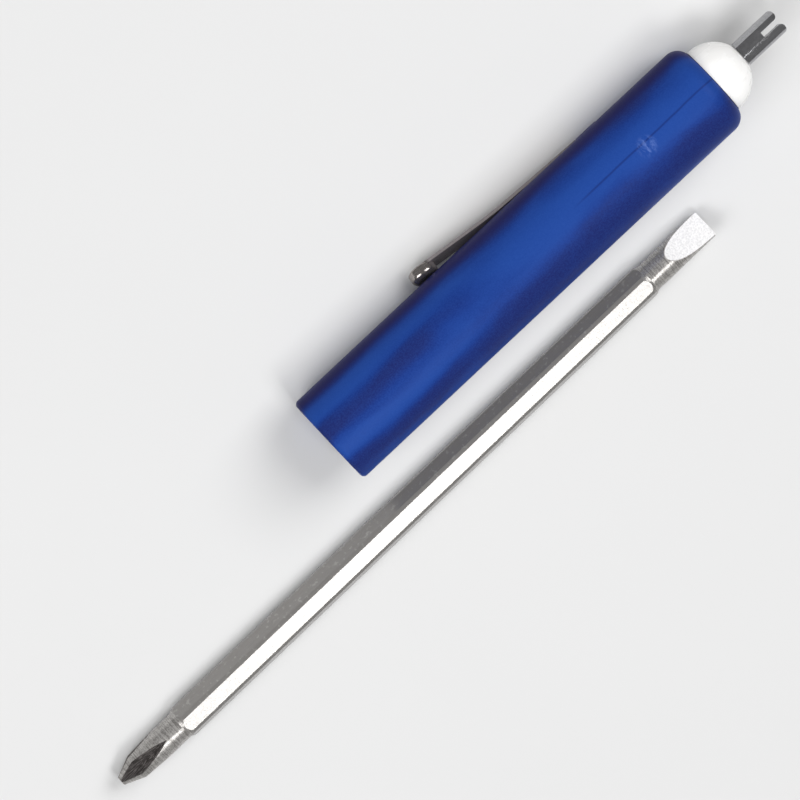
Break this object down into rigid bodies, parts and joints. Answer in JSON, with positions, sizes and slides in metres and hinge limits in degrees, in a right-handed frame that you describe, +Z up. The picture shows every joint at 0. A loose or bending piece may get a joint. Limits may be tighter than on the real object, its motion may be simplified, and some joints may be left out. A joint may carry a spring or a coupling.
{
  "type": "pocket screwdriver",
  "caption": "Pocket screwdriver: a round handle with a hexagon socket, spring clip and forked valve core tool, and a reversible cross and slotted blade that lies beside it.",
  "frame": {"origin": "centre of the blade socket's mouth, on the handle's axis", "axes": "+X along the handle's axis from the mouth to the valve tool, +Y to the clip's side, +Z up from the surface that the pieces lie on"},
  "size_m": [0.1252, 0.0255, 0.0127],
  "materials": {
    "blue_plastic": "satin royal blue moulding",
    "white_plastic": "glossy white moulding",
    "plated_pin": "bright plated steel",
    "spring_steel": "bright plated spring steel",
    "plated_blade": "nickel plated steel, slotted tip blasted"
  },
  "bodies": {
    "grip": {"handle": "blue_plastic", "end_cap": "white_plastic", "valve_tool": "plated_pin"},
    "clip": {"pocket_clip": "spring_steel"},
    "bit": {"blade": "plated_blade"}
  },
  "joints": [
    {"name": "clip_flex", "type": "hinge", "parent": "grip", "child": "clip", "pos_m": [0.04822, 0.00501, -0.0037], "axis": [0, -0.5941, -0.8044], "range_deg": [0, 5], "stiffness_Nm_per_rad": 0.6},
    {"name": "blade_turn", "type": "hinge", "parent": "grip", "child": "bit", "pos_m": [-0.02619, -0.00769, -0.00422], "axis": [0, 0, -1], "range_deg": [0, 180.54]}
  ]
}
